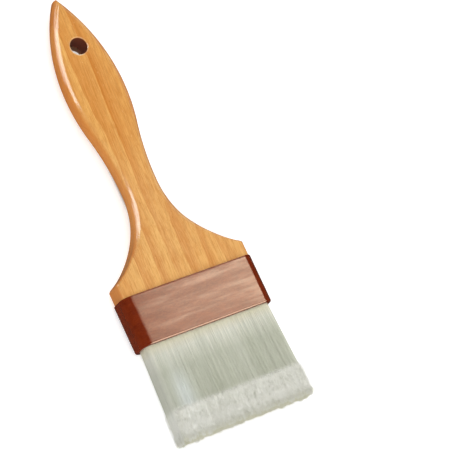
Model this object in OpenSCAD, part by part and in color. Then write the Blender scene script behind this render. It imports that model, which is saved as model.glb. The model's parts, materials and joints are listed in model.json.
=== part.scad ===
// Flat pastry brush: a lacquered wooden handle with a hanging hole, a moulded
// ferrule, and two banks of filaments set in resin with a spacer between them.
//
// The brush lies on its back. X runs across it, Y runs along it towards the
// handle's tip, and Z points up, out of its front face. The origin is under the
// middle of its length, on the surface that it lies on.

/* [Ferrule] */
// Outer width of the ferrule
ferrule_w = 80; // [74:0.5:84]
// Outer thickness of the ferrule, front to back
ferrule_t = 17; // [16:0.1:19]
// Length of the ferrule along the brush
ferrule_h = 27.5; // [25:0.5:32]
// Outer radius of the four corners that run along the ferrule
ferrule_corner_r = 5.4; // [4.5:0.1:6]
// Wall thickness of the ferrule
ferrule_wall = 1.2; // [1:0.1:1.5]
// Height of the inturned lip that pinches the filaments at the mouth
lip_h = 2; // [1.5:0.1:3]

/* [Handle] */
// Length of wood that shows, from the ferrule to the tip
handle_len = 167; // [155:0.5:180]
// Thickness of the wood at the shoulders and in the ferrule
shoulder_t = 14.2; // [13:0.1:14.2]
// Thickness of the wood from the neck to the tip
grip_t = 11.4; // [11:0.1:13]
// Height of the straight sides between the ferrule and the shoulders
shoulder_at = 8.3; // [6:0.1:12]
// Distance from the ferrule to the narrowest point of the neck
neck_at = 54.5; // [50:0.5:60]
// Width of the neck
neck_w = 20.6; // [17:0.1:22]
// Radius of the hollow curve from the neck up to the bulb
neck_r = 150; // [120:1:160]
// Distance from the ferrule to the widest point of the bulb
bulb_at = 112.5; // [108:0.5:118]
// Width of the bulb
bulb_w = 34; // [30:0.1:36]
// Radius of the tip, seen from the front
tip_r = 1.4; // [1:0.1:2.5]
// Radius of the rounded-over edges of the grip
edge_r = 4.8; // [2.5:0.1:5.2]
// Radius left on the edges at the shoulders
shoulder_edge_r = 1.8; // [1:0.1:3]
// Distance from the ferrule to where the rounding-over begins
runout_from = 15; // [12:1:20]
// Length over which the rounding-over grows to its full radius
runout_len = 22; // [15:1:30]
// Length of the tenon in the ferrule
tenon_len = 14; // [12:0.5:15]
// Thickness of the film of glue round the tenon
glue_t = 0.2; // [0.1:0.05:0.3]

/* [Hanging hole] */
// Distance from the ferrule to the hole's centre
hole_at = 137.5; // [130:0.5:142]
// Diameter of the hole
hole_d = 9.5; // [8:0.1:10]

/* [Bristles] */
// Free length of the filaments below the mouth
bristle_len = 51.5; // [45:0.5:60]
// Distance from the ferrule's side to the side of the filament pack
lip_side = 2.8; // [2.2:0.1:3.5]
// Distance from the ferrule's face to the face of the filament pack
lip_face = 2.05; // [1.85:0.05:2.5]
// Radius of the filament pack's corners
pack_r = 2.5; // [2:0.1:3.5]
// Width of the filament pack at its tips
tips_w = 79; // [75:0.5:79.5]
// Depth of the filaments' butts inside the mouth
butt_depth = 9.5; // [9:0.1:9.8]
// Distance from the mouth to the line about which the filaments flex
flex_depth = 8; // [7.5:0.1:9]
// Gap at the flex line between the held and the free filaments
flex_gap = 0.3; // [0.25:0.05:0.5]
// Distance from the mouth to the ends of the held filaments' outer layers
held_depth = 4.5; // [3.5:0.1:4.5]
// Thickness of the strip between the two banks
spacer_t = 3; // [2:0.1:4]
// Height of the strip
spacer_h = 8; // [6:0.1:8.5]
// Clearance between the filament pack and the ferrule's lip
mouth_gap = 0.2; // [0.1:0.05:0.3]

/* [Hidden] */
$fn = 64;

// Places along the brush
overall_len = bristle_len + ferrule_h + handle_len;
tips_y = -overall_len / 2;
mouth_y = tips_y + bristle_len;
rim_y = mouth_y + ferrule_h;
tenon_y = rim_y - tenon_len;
butt_y = mouth_y + butt_depth;
spacer_y = butt_y - spacer_h;
flex_y = mouth_y - flex_depth;
axis_z = ferrule_t / 2;

// Sizes across the brush
cavity_w = ferrule_w - 2 * ferrule_wall;
cavity_t = ferrule_t - 2 * ferrule_wall;
cavity_r = ferrule_corner_r - ferrule_wall;
shoulder_w = cavity_w - 2 * glue_t;
tenon_t = cavity_t - 2 * glue_t;
tenon_r = cavity_r - glue_t;
pack_w = ferrule_w - 2 * lip_side;
pack_t = ferrule_t - 2 * lip_face;
overcut = 1;

// Arcs of the handle's outline. Each one meets the next with a common tangent.
flare_rise = (shoulder_w - neck_w) / 2;
flare_run = neck_at - shoulder_at;
flare_r = (flare_rise * flare_rise + flare_run * flare_run) / (2 * flare_rise);
flare_angle = asin(flare_run / flare_r);
swell_angle = 2 * atan((bulb_w - neck_w) / 2 / (bulb_at - neck_at));
swell_at = neck_at + neck_r * sin(swell_angle);
bulb_r = (bulb_at - neck_at) / sin(swell_angle) - neck_r;
cap_at = handle_len - tip_r;
cap_run = cap_at - bulb_at;
nose_r = (bulb_w * bulb_w / 4 - tip_r * tip_r + cap_run * cap_run) / (bulb_w - 2 * tip_r);
nose_end = bulb_at + cap_run * nose_r / (nose_r - tip_r);

// Steps of the handle's surface
flare_steps = 16;
grip_step = 3;
nose_steps = 18;
cap_steps = 5;
corner_steps = 6;
ridge_half_w = 0.05;
slope_step = 0.01;

// Distance of an arc of radius r from its tangent, d along the tangent
function sagitta(r, d) = r - sqrt(max(r * r - d * d, 0));

// A smooth rise from 0 to 1
function ease(t) = let(u = min(max(t, 0), 1)) u * u * (3 - 2 * u);

// Half width of the handle at distance s from the ferrule
function half_w(s) =
    s <= shoulder_at ? shoulder_w / 2 :
    s <= neck_at ? neck_w / 2 + sagitta(flare_r, neck_at - s) :
    s <= swell_at ? neck_w / 2 + sagitta(neck_r, s - neck_at) :
    s <= bulb_at ? bulb_w / 2 - sagitta(bulb_r, bulb_at - s) :
    s <= nose_end ? bulb_w / 2 - sagitta(nose_r, s - bulb_at) :
    sqrt(max(tip_r * tip_r - (s - cap_at) * (s - cap_at), 0));

// Half thickness of the handle and radius of its edges at distance s
function half_t(s) = (shoulder_t + (grip_t - shoulder_t) * ease((s - shoulder_at) / flare_run)) / 2;
function round_over(s) = shoulder_edge_r + (edge_r - shoulder_edge_r) * ease((s - runout_from) / runout_len);

// Cosine of the angle between the outline and the brush's axis at distance s
function outline_cos(s) =
    let(slope = s <= shoulder_at ? 0 : (half_w(s + slope_step) - half_w(s - slope_step)) / (2 * slope_step))
    1 / sqrt(1 + slope * slope);

// One rounded corner of the handle's section at distance s, from the side to
// the face. Near the tip the two corners meet in a ridge before they reach the face.
function corner(s) =
    let(
        w = half_w(s), r = round_over(s), c = outline_cos(s),
        room = (w - ridge_half_w) * c / r,
        turn = room < 1 ? acos(1 - room) : 90
    )
    [for (i = [0:corner_steps])
        let(a = turn * i / corner_steps)
        [w - r * (1 - cos(a)) / c, half_t(s) - r + r * sin(a)]];

// The handle's whole section at distance s, as points of the brush
function section(s) =
    let(q = corner(s), n = corner_steps)
    [for (p = concat(
        [for (i = [0:n]) [q[i][0], q[i][1]]],
        [for (i = [0:n]) [-q[n - i][0], q[n - i][1]]],
        [for (i = [0:n]) [-q[i][0], -q[i][1]]],
        [for (i = [0:n]) [q[n - i][0], -q[n - i][1]]]))
        [p[0], rim_y + s, axis_z + p[1]]];

// Distances at which the handle's surface has a section
nose_run = nose_end - bulb_at;
cap_angle = asin((nose_end - cap_at) / tip_r);
last_angle = 84;
stations = concat(
    [0],
    [for (i = [0:flare_steps - 1]) neck_at - flare_r * sin(flare_angle * (1 - i / flare_steps))],
    [for (s = [neck_at:grip_step:bulb_at - grip_step / 2]) s],
    [for (i = [0:nose_steps - 1]) bulb_at + nose_run * i / nose_steps],
    [for (i = [0:cap_steps]) cap_at + tip_r * sin(cap_angle + (last_angle - cap_angle) * i / cap_steps)]
);

// Handle, from the tip down to the ferrule's rim
module grip() {
    rings = [for (s = stations) section(s)];
    n = len(rings[0]);
    last = len(rings) - 1;
    polyhedron(
        points = [for (ring = rings) each ring],
        faces = concat(
            [[for (j = [n - 1:-1:0]) j]],
            [for (i = [0:last - 1], j = [0:n - 1])
                [i * n + j, i * n + (j + 1) % n, (i + 1) * n + (j + 1) % n, (i + 1) * n + j]],
            [[for (j = [0:n - 1]) last * n + j]]
        )
    );
}

// A rectangle with round corners, centred on the brush's axis
module rounded_rect(w, t, r) {
    square([w - 2 * r, t], center = true);
    square([w, t - 2 * r], center = true);
    for (x = [-1, 1], z = [-1, 1])
        translate([x * (w / 2 - r), z * (t / 2 - r)])
            circle(r);
}

// An outline seen along the brush, extruded between two places on Y
module along_y(from, to) {
    translate([0, to, axis_z])
        rotate([90, 0, 0])
            linear_extrude(to - from)
                children();
}

// An outline seen from the side, extruded across the brush. Its X is the
// brush's Y, and its Y is the height above the brush's axis.
module across(w) {
    translate([0, 0, axis_z])
        rotate([90, 0, 90])
            linear_extrude(w, center = true)
                children();
}

module tenon() {
    along_y(tenon_y, rim_y + overcut)
        rounded_rect(shoulder_w, tenon_t, tenon_r);
}

// Wooden handle: grip and shoulders in one piece with the tenon
module handle() {
    color("#DDA15A")
        difference() {
            union() {
                grip();
                tenon();
            }
            translate([0, rim_y + hole_at, -overcut])
                cylinder(d = hole_d, h = ferrule_t + 2 * overcut);
        }
}

// Moulded sleeve with an inturned lip at the mouth
module ferrule() {
    color("#8A3A1C")
        difference() {
            along_y(mouth_y, rim_y)
                rounded_rect(ferrule_w, ferrule_t, ferrule_corner_r);
            along_y(mouth_y + lip_h, rim_y + overcut)
                rounded_rect(cavity_w, cavity_t, cavity_r);
            along_y(mouth_y - overcut, mouth_y + lip_h + overcut)
                rounded_rect(pack_w + 2 * mouth_gap, pack_t + 2 * mouth_gap, pack_r + mouth_gap);
        }
}

// Film of glue between the tenon and the ferrule
module handle_adhesive() {
    color("#E8DCA8")
        difference() {
            along_y(tenon_y, rim_y)
                rounded_rect(cavity_w, cavity_t, cavity_r);
            along_y(tenon_y - overcut, rim_y + overcut)
                rounded_rect(shoulder_w, tenon_t, tenon_r);
        }
}

// Cast block of resin between the tenon and the filaments' butts
module epoxy_set() {
    color("#C9A85E")
        along_y(butt_y, tenon_y)
            rounded_rect(shoulder_w, tenon_t, tenon_r);
}

// Strip that parts the filaments into two banks inside the ferrule
module spacer_plug() {
    color("#C9B08A")
        along_y(spacer_y, butt_y)
            square([pack_w - 2 * pack_r, spacer_t], center = true);
}

// Section through one bank: above the axis when side is 1, below it when side is -1
module bank_half(side) {
    translate([tips_y, side > 0 ? 0 : -ferrule_t])
        square([overall_len, ferrule_t]);
}

// Held filaments of one bank: wide in the ferrule, pinched by its lip, and
// ending outside it in a round seat for the free filaments
module bristle_root(side) {
    difference() {
        union() {
            along_y(mouth_y + lip_h + mouth_gap, butt_y)
                rounded_rect(shoulder_w, tenon_t, tenon_r);
            along_y(mouth_y - held_depth, butt_y)
                rounded_rect(pack_w, pack_t, pack_r);
        }
        across(ferrule_w)
            bank_half(-side);
        across(ferrule_w)
            translate([flex_y, 0])
                circle(pack_t / 2 + flex_gap);
        along_y(spacer_y, butt_y + overcut)
            square([pack_w - 2 * pack_r, spacer_t], center = true);
    }
}

module bristle_root_front() {
    color("#D9D6C4")
        bristle_root(1);
}

module bristle_root_rear() {
    color("#D3D0BE")
        bristle_root(-1);
}

// Free filaments of one bank, spreading a little towards the tips, with a
// round head that turns in the held filaments' seat
module bristle_bank(side) {
    intersection() {
        across(ferrule_w)
            union() {
                translate([flex_y, 0])
                    circle(pack_t / 2);
                translate([tips_y, -pack_t / 2])
                    square([flex_y - tips_y, pack_t]);
            }
        across(ferrule_w)
            bank_half(side);
        linear_extrude(ferrule_t)
            polygon([
                [-tips_w / 2, tips_y], [tips_w / 2, tips_y],
                [pack_w / 2, mouth_y], [-pack_w / 2, mouth_y],
            ]);
    }
}

module bristles_front() {
    color("#C6C9B8")
        bristle_bank(1);
}

module bristles_rear() {
    color("#BFC2B0")
        bristle_bank(-1);
}

handle();
ferrule();
handle_adhesive();
epoxy_set();
spacer_plug();
bristle_root_front();
bristle_root_rear();
bristles_front();
bristles_rear();
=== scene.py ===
import json
import math

import bmesh
import bpy
import numpy as np
from mathutils import Matrix, Vector


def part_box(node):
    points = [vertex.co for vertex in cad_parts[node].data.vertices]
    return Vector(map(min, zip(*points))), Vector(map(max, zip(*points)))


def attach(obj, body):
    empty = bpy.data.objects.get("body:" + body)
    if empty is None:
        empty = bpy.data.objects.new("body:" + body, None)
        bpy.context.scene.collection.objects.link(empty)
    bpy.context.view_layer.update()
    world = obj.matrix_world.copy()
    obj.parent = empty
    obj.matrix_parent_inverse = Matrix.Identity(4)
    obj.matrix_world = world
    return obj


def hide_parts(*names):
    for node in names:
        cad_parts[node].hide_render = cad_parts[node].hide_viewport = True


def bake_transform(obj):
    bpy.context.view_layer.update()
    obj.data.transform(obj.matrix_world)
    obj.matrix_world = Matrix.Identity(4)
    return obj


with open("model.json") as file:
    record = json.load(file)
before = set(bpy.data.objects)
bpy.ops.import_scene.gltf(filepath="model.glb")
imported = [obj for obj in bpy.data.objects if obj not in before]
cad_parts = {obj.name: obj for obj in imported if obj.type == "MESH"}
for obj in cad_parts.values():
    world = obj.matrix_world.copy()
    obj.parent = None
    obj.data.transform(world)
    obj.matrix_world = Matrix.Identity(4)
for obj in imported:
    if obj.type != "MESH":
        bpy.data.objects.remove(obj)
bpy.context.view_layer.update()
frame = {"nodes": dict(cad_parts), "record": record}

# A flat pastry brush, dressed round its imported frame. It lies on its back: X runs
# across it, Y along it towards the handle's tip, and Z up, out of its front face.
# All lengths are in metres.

MM = 0.001
rng = np.random.default_rng(11)

# -------- places
handle_lo, handle_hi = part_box("handle")
ferrule_lo, ferrule_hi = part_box("ferrule")
glue_lo, glue_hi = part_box("handle_adhesive")
root_lo, root_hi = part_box("bristle_root_front")
bank_lo, bank_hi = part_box("bristles_front")
hole = next(m for m in frame["record"]["mounts"] if m["name"] == "hanging_hole")

TIP_Y = handle_hi.y
TENON_Y = handle_lo.y
RIM_Y = ferrule_hi.y
MOUTH_Y = ferrule_lo.y
BUTT_Y = root_hi.y
TIPS_Y = bank_lo.y
AXIS_Z = (ferrule_lo.z + ferrule_hi.z) / 2
FREE_LEN = MOUTH_Y - TIPS_Y

# Handle. Names in _AT and _FROM are distances along Y from the ferrule's rim.
SHOULDER_W = handle_hi.x - handle_lo.x
SHOULDER_T = handle_hi.z - handle_lo.z
GRIP_T = hole["dims"]["length_mm"] * MM
HOLE_R = hole["dims"]["r_mm"] * MM
HOLE_Y = hole["pos_m"][1]
HANDLE_LEN = TIP_Y - RIM_Y
SHOULDER_AT = 8.3 * MM
NECK_AT = 54.5 * MM
NECK_W = 20.6 * MM
NECK_R = 150 * MM
BULB_AT = 112.5 * MM
BULB_W = 34 * MM
NOSE_TIP_R = 1.4 * MM
EDGE_R = 4.8 * MM
SHOULDER_EDGE_R = 1.8 * MM
RUNOUT_FROM = 15 * MM
RUNOUT_LEN = 22 * MM
RIDGE_WEAR = 0.7 * MM
TENON_R = 4 * MM
TENON_FIT = 0.05 * MM
RIDGE_HALF_W = 0.05 * MM
HOLE_RIM_R = 0.7 * MM
HOLE_MARGIN = 1.6 * MM
HOLE_SEGMENTS = 96

# Ferrule
FERRULE_W = ferrule_hi.x - ferrule_lo.x
FERRULE_T = ferrule_hi.z - ferrule_lo.z
CAVITY_W = glue_hi.x - glue_lo.x
CORNER_R = 5.4 * MM
WALL = (FERRULE_W - CAVITY_W) / 2
LIP_H = 2 * MM
MOUTH_GAP = 0.2 * MM
MOUTH_EDGE_R = 1.1 * MM
RIM_EDGE_R = 0.45 * MM
LIP_EDGE_R = 0.3 * MM
INNER_EASE = 0.2 * MM
RIM_BEVEL = 0.15 * MM
SINK_Y = 3.6 * MM
SINK_HALF_H = 1.4 * MM
SINK_DEPTH = 0.08 * MM

# Filaments: the pack at the ferrule's mouth, at its tips and at its butts
PACK_T = (bank_hi.z - AXIS_Z) * 2
PACK_W = 74.4 * MM
PACK_R = 2.5 * MM
TIPS_W = bank_hi.x - bank_lo.x
BUTT_W = root_hi.x - root_lo.x
BUTT_T = (root_hi.z - AXIS_Z) * 2


# -------- numbers
def ease(t):
    """A smooth rise from 0 to 1."""
    u = np.clip(t, 0, 1)
    return u * u * (3 - 2 * u)


def bump_at(t, middle, width):
    """A soft hill of height 1 round middle."""
    return np.exp(-(((t - middle) / width) ** 2))


def smooth_noise(x, seed, size=1.0):
    """Noise along a line, from -1 to 1, with a feature every size."""
    values = np.random.default_rng(seed).uniform(-1, 1, 512)
    place = np.asarray(x, float) / size + 128
    cell = np.floor(place).astype(int)
    share = ease(place - cell)
    return values[cell % 512] * (1 - share) + values[(cell + 1) % 512] * share


def smooth_noise_2d(x, y, seed, size_x, size_y):
    """Noise over a plane, from -1 to 1."""
    values = np.random.default_rng(seed).uniform(-1, 1, (256, 256))
    px = np.asarray(x, float) / size_x + 64
    py = np.asarray(y, float) / size_y + 64
    cx = np.floor(px).astype(int)
    cy = np.floor(py).astype(int)
    fx = ease(px - cx)
    fy = ease(py - cy)
    low = values[cx % 256, cy % 256] * (1 - fx) + values[(cx + 1) % 256, cy % 256] * fx
    top = values[cx % 256, (cy + 1) % 256] * (1 - fx) + values[(cx + 1) % 256, (cy + 1) % 256] * fx
    return low * (1 - fy) + top * fy


def linear(*levels):
    """A colour given by its display levels from 0 to 255, as the shader's linear values."""
    share = np.array(levels, float) / 255
    return np.where(share <= 0.04045, share / 12.92, ((share + 0.055) / 1.055) ** 2.4)


def colour(*levels):
    """The same colour with an alpha of 1, as the shader's colour inputs take it."""
    return (*linear(*levels), 1.0)


# -------- meshes
def ring_faces(rings, count):
    """The quads between rings of points that close on themselves."""
    i = np.arange(rings - 1)[:, None] * count
    j = np.arange(count)[None, :]
    after = (j + 1) % count
    quads = np.stack([i + j, i + after, i + count + after, i + count + j], axis=-1)
    return quads.reshape(-1, 4)


def end_caps(rings, count):
    """The two faces that close the first ring and the last one."""
    first = list(range(count))
    last = list(range((rings - 1) * count, rings * count))
    return [first, last]


def add_object(name, mesh, material):
    """A mesh put in the scene with its material."""
    made = bpy.data.objects.new(name, mesh)
    bpy.context.scene.collection.objects.link(made)
    mesh.materials.append(material)
    return made


def mesh_from(name, points, faces):
    """A mesh of these points and of faces that are lists of their numbers."""
    mesh = bpy.data.meshes.new(name)
    mesh.from_pydata(np.asarray(points).reshape(-1, 3).tolist(), [], faces)
    mesh.update()
    return mesh


HANDLE_SHARP_DEG = 32
FERRULE_SHARP_DEG = 40
CORE_SHARP_DEG = 60


def finish_shading(mesh, sharp_deg):
    """Outward normals, smooth but for the edges that are sharper than this."""
    work = bmesh.new()
    work.from_mesh(mesh)
    bmesh.ops.recalc_face_normals(work, faces=work.faces)
    work.to_mesh(mesh)
    work.free()
    mesh.polygons.foreach_set("use_smooth", [True] * len(mesh.polygons))
    mesh.set_sharp_from_angle(angle=math.radians(sharp_deg))


def rounded_ring(half_w, half_t, r, corner_n, face_n, side_n):
    """Points (x, z) round a rectangle with round corners, from the middle of its +X side."""
    a = np.linspace(0, math.pi / 2, corner_n)
    side = np.stack([np.full(side_n, half_w), np.linspace(0, half_t - r, side_n)], axis=-1)
    corner = np.stack([half_w - r + r * np.cos(a), half_t - r + r * np.sin(a)], axis=-1)
    face = np.stack([np.linspace(half_w - r, 0, face_n), np.full(face_n, half_t)], axis=-1)
    return four_quarters(np.concatenate([side[:-1], corner, face[1:]]))


def four_quarters(quarter):
    """A whole ring from its quarter between (half width, 0) and (0, half thickness)."""
    back = quarter[::-1]
    return np.concatenate([
        quarter[:-1],
        (back * [-1, 1])[:-1],
        (quarter * [-1, -1])[:-1],
        (back * [1, -1])[:-1],
    ])


def placed(ring, y):
    """A ring's points (x, z) as points of the brush at y."""
    return np.stack([ring[:, 0], np.full(len(ring), y), AXIS_Z + ring[:, 1]], axis=-1)


# -------- shader nodes
def new_material(name):
    """A material's tree and its Principled node."""
    made = bpy.data.materials.new(name)
    made.use_nodes = True
    return made, made.node_tree, made.node_tree.nodes["Principled BSDF"]


def add_node(tree, kind, settings, inputs):
    """A node with these settings, whose inputs are values or other nodes' outputs."""
    made = tree.nodes.new("ShaderNode" + kind)
    for key, value in settings.items():
        setattr(made, key, value)
    for key, value in inputs.items():
        if isinstance(value, bpy.types.NodeSocket):
            tree.links.new(value, made.inputs[key])
        else:
            made.inputs[key].default_value = value
    return made


def math_node(tree, operation, a, b=0.0):
    """The result of one operation on two numbers."""
    return add_node(tree, "Math", {"operation": operation}, {0: a, 1: b}).outputs[0]


def vector_node(tree, operation, a, b=(0, 0, 0)):
    """A node for one operation on two vectors."""
    return add_node(tree, "VectorMath", {"operation": operation}, {0: a, 1: b})


def part_of(tree, vector, axis):
    """One coordinate of a vector, by its number."""
    return add_node(tree, "SeparateXYZ", {}, {0: vector}).outputs[axis]


def remap(tree, value, low, high, to_low=0.0, to_high=1.0, smooth=True):
    """A number moved from one range to another and kept within it."""
    settings = {"interpolation_type": "SMOOTHSTEP" if smooth else "LINEAR"}
    ends = {"Value": value, "From Min": low, "From Max": high, "To Min": to_low, "To Max": to_high}
    return add_node(tree, "MapRange", settings, ends).outputs[0]


def mix(tree, factor, a, b):
    """Colour a where factor is 0 and colour b where it is 1."""
    return add_node(tree, "Mix", {"data_type": "RGBA"}, {0: factor, 6: a, 7: b}).outputs[2]


def noise(tree, place, size, detail=2.0, roughness=0.5):
    """Noise with a feature of this size, in the units of place."""
    scaled = vector_node(tree, "DIVIDE", place, size).outputs[0]
    inputs = {"Vector": scaled, "Scale": 1.0, "Detail": detail, "Roughness": roughness}
    return add_node(tree, "TexNoise", {}, inputs).outputs[0]


def own_place(tree):
    """The piece's own coordinates in metres."""
    return add_node(tree, "TexCoord", {}, {}).outputs["Object"]


def place_in_mm(tree, turn_deg=0.0):
    """The piece's own coordinates in millimetres, turned about Z."""
    turn = (0, 0, math.radians(turn_deg))
    inputs = {"Vector": own_place(tree), "Rotation": turn, "Scale": (1 / MM, 1 / MM, 1 / MM)}
    return add_node(tree, "Mapping", {"vector_type": "POINT"}, inputs).outputs[0]


def level_distance(tree, centre):
    """How far each place is from this point, seen from above."""
    apart = vector_node(tree, "SUBTRACT", own_place(tree), centre).outputs[0]
    level = vector_node(tree, "MULTIPLY", apart, (1, 1, 0)).outputs[0]
    return vector_node(tree, "LENGTH", level).outputs["Value"]


def facing_up(tree):
    """How squarely the surface faces up or down, from 0 to 1."""
    normal = add_node(tree, "TexCoord", {}, {}).outputs["Normal"]
    return math_node(tree, "ABSOLUTE", part_of(tree, normal, 2))


def bump(tree, shader, height, distance, strength, socket="Normal"):
    """Lets a height raise the surface by up to distance in the shading."""
    made = add_node(tree, "Bump", {}, {"Height": height, "Distance": distance, "Strength": strength})
    tree.links.new(made.outputs[0], shader.inputs[socket])


def set_shader(shader, **values):
    """Sets plain values on the shader, by the inputs' names with _ for a space."""
    for name, value in values.items():
        shader.inputs[name.replace("_", " ")].default_value = value


# -------- materials
WOOD_LIGHT = colour(233, 178, 101)
WOOD_PALE = colour(240, 199, 136)
WOOD_DARK = colour(203, 127, 54)
WOOD_VEIN = colour(164, 88, 30)
WOOD_RAY = colour(240, 195, 130)
WOOD_SIDE_SHADE = colour(208, 120, 52)
BORE_SHADE = colour(122, 62, 42)
RIM_HIGHLIGHT = colour(255, 236, 200)
RIM_HIGHLIGHT_SIDE = (-0.69 * HOLE_R, HOLE_Y - 0.72 * HOLE_R, 0)
PALE_FROM_Y_MM = -10
PALE_TO_Y_MM = 60
GRAIN_TURN_DEG = 2.7
STREAK_PERIOD = 10.5
STREAK_WANDER = 26.0
STREAK_FEATHER = 2.2


def wood_streaks(tree, place):
    """Broad streaks along the grain, each dark along its left side and fading to its right."""
    wander = math_node(tree, "MULTIPLY", noise(tree, place, (14, 190, 30)), STREAK_WANDER)
    feather = math_node(tree, "MULTIPLY", noise(tree, place, (1.4, 9, 3), 3.0, 0.6), STREAK_FEATHER)
    sweep = math_node(tree, "ADD", wander, feather)
    moved = math_node(tree, "ADD", part_of(tree, place, 0), sweep)
    saw = math_node(tree, "FRACT", math_node(tree, "DIVIDE", moved, STREAK_PERIOD))
    rising = remap(tree, saw, 0.0, 0.07)
    fading = remap(tree, saw, 0.0, 0.9, 1.0, 0.0, smooth=False)
    return math_node(tree, "MULTIPLY", rising, fading)


def wood_figure(tree, place):
    """The colour of the bare wood's face and, as a height, its open grain."""
    fade = remap(tree, noise(tree, place, (11, 120, 16), 1.0), 0.35, 0.65, 0.7, 1.1)
    streaks = math_node(tree, "MULTIPLY", wood_streaks(tree, place), fade)
    tone = mix(tree, streaks, WOOD_LIGHT, WOOD_DARK)
    upper = remap(tree, part_of(tree, place, 1), PALE_FROM_Y_MM, PALE_TO_Y_MM)
    tone = mix(tree, remap(tree, upper, 0.0, 1.0, 0.35, 0.0), tone, WOOD_PALE)
    broad = remap(tree, noise(tree, place, (22, 90, 22)), 0.38, 0.66, 0.0, 0.26)
    tone = mix(tree, broad, tone, WOOD_DARK)
    flecks = remap(tree, noise(tree, place, (1.0, 6.0, 1.0), 3.0, 0.75), 0.44, 0.62, 0.0, 0.3)
    tone = mix(tree, flecks, tone, WOOD_DARK)
    fine = remap(tree, noise(tree, place, (0.55, 12, 0.55), 3.0, 0.7), 0.38, 0.66, 0.0, 0.3)
    tone = mix(tree, fine, tone, WOOD_VEIN)
    pores = remap(tree, noise(tree, place, (0.22, 2.4, 0.22), 1.0), 0.66, 0.76, 0.0, 0.5)
    tone = mix(tree, pores, tone, WOOD_VEIN)
    rays = remap(tree, noise(tree, place, (0.5, 1.6, 0.3), 1.0), 0.68, 0.75, 0.0, 0.3)
    tone = mix(tree, rays, tone, WOOD_RAY)
    return tone, math_node(tree, "ADD", fine, math_node(tree, "MULTIPLY", pores, -1.2))


def beyond_hole(tree, inner, outer):
    """0 within the inner distance of the hanging hole's axis and 1 beyond the outer one."""
    return remap(tree, level_distance(tree, (0, HOLE_Y, 0)), inner, outer)


def rim_highlight(tree, place):
    """Where a highlight is painted along the hanging hole's rim, strongest on its lower left side."""
    beyond = beyond_hole(tree, HOLE_R + 0.45 * MM, HOLE_R + 1.0 * MM)
    near = remap(tree, beyond, 0.0, 1.0, 1.0, 0.0)
    most = remap(tree, level_distance(tree, RIM_HIGHLIGHT_SIDE), 2.0 * MM, 6.0 * MM, 1.0, 0.25)
    patchy = remap(tree, noise(tree, place, (1.5, 1.5, 1.5)), 0.35, 0.6, 0.3, 1.0)
    return math_node(tree, "MULTIPLY", near, math_node(tree, "MULTIPLY", most, patchy))


def wood_material():
    """Lacquered beech, with painted shade on its sides, a painted highlight round the hole's rim, and its
    bore painted dark as shade.
    """
    made, tree, shader = new_material("lacquered_beech")
    place = place_in_mm(tree, GRAIN_TURN_DEG)
    up = facing_up(tree)
    tone, grain = wood_figure(tree, place)
    # Painted shade darkens the sides and rounded edges, more the less squarely they face up.
    tone = mix(tree, remap(tree, up, 0.5, 0.92, 0.6, 0.0), tone, WOOD_SIDE_SHADE)
    # A painted highlight round the hanging hole's rim.
    rim_lit = math_node(tree, "MULTIPLY", rim_highlight(tree, place), 0.85)
    tone = mix(tree, rim_lit, tone, RIM_HIGHLIGHT)
    # Painted shade darkens the bore's wall.
    outside = beyond_hole(tree, HOLE_R + 0.02 * MM, HOLE_R + 0.2 * MM)
    tone = mix(tree, outside, BORE_SHADE, tone)
    tree.links.new(tone, shader.inputs["Base Color"])
    gloss = remap(tree, noise(tree, place, (6, 20, 6), 3.0), 0.3, 0.7, 0.34, 0.46)
    tree.links.new(gloss, shader.inputs["Roughness"])
    set_shader(shader, Specular_IOR_Level=0.02, Coat_Roughness=0.12, Coat_IOR=1.5)
    rubbed_flat = remap(tree, up, 0.9, 0.99, 0.66, 0.06)
    tree.links.new(rubbed_flat, shader.inputs["Coat Weight"])
    bump(tree, shader, grain, 0.05 * MM, 0.35)
    orange_peel = noise(tree, place, (2.2, 4.5, 2.2))
    bump(tree, shader, orange_peel, 0.06 * MM, 0.25, "Coat Normal")
    return made


FERRULE_DEEP = colour(98, 25, 1)
FERRULE_BROWN = colour(114, 34, 2)
FERRULE_MOTE = colour(148, 60, 16)


def ferrule_material():
    """Brown moulded plastic, with cloudy flow marks in the gloss of its flat faces."""
    made, tree, shader = new_material("moulded_plastic")
    place = place_in_mm(tree)
    mottle = remap(tree, noise(tree, place, (9, 5, 9), 4.0, 0.6), 0.3, 0.7)
    tone = mix(tree, mottle, FERRULE_DEEP, FERRULE_BROWN)
    fine = remap(tree, noise(tree, place, (1.6, 0.5, 1.6), 3.0, 0.7), 0.35, 0.7, 0.0, 0.35)
    tone = mix(tree, fine, tone, FERRULE_MOTE)
    tree.links.new(tone, shader.inputs["Base Color"])
    cloudy = remap(tree, noise(tree, place, (34, 3.4, 34), 3.0, 0.6), 0.38, 0.62, 0.03, 0.16)
    on_face = remap(tree, facing_up(tree), 0.992, 0.9995)
    gloss = math_node(tree, "ADD", math_node(tree, "MULTIPLY", cloudy, on_face), 0.11)
    tree.links.new(gloss, shader.inputs["Roughness"])
    set_shader(shader, Specular_IOR_Level=0.9, Coat_Weight=0.3, Coat_Roughness=0.1)
    waves = noise(tree, place, (22, 3.0, 22))
    bump(tree, shader, waves, 0.012 * MM, 0.25)
    return made


NYLON_SPECK = colour(236, 236, 226)


def nylon_material(name, roughness, sheen_weight):
    """Filaments take their colour from each point's own tint."""
    made, tree, shader = new_material(name)
    tint = add_node(tree, "Attribute", {"attribute_name": "tint"}, {}).outputs["Color"]
    place = place_in_mm(tree)
    speck = remap(tree, noise(tree, place, (0.5, 3.0, 0.5)), 0.3, 0.7, 0.0, 0.16)
    tone = mix(tree, speck, tint, NYLON_SPECK)
    tree.links.new(tone, shader.inputs["Base Color"])
    streaks = noise(tree, place, (0.8, 6.0, 0.8))
    gloss = remap(tree, streaks, 0.3, 0.7, roughness - 0.06, roughness + 0.1)
    tree.links.new(gloss, shader.inputs["Roughness"])
    bump(tree, shader, speck, 0.02 * MM, 0.3)
    set_shader(shader, Specular_IOR_Level=0.5, Sheen_Weight=sheen_weight, Sheen_Roughness=0.5)
    return made


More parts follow.
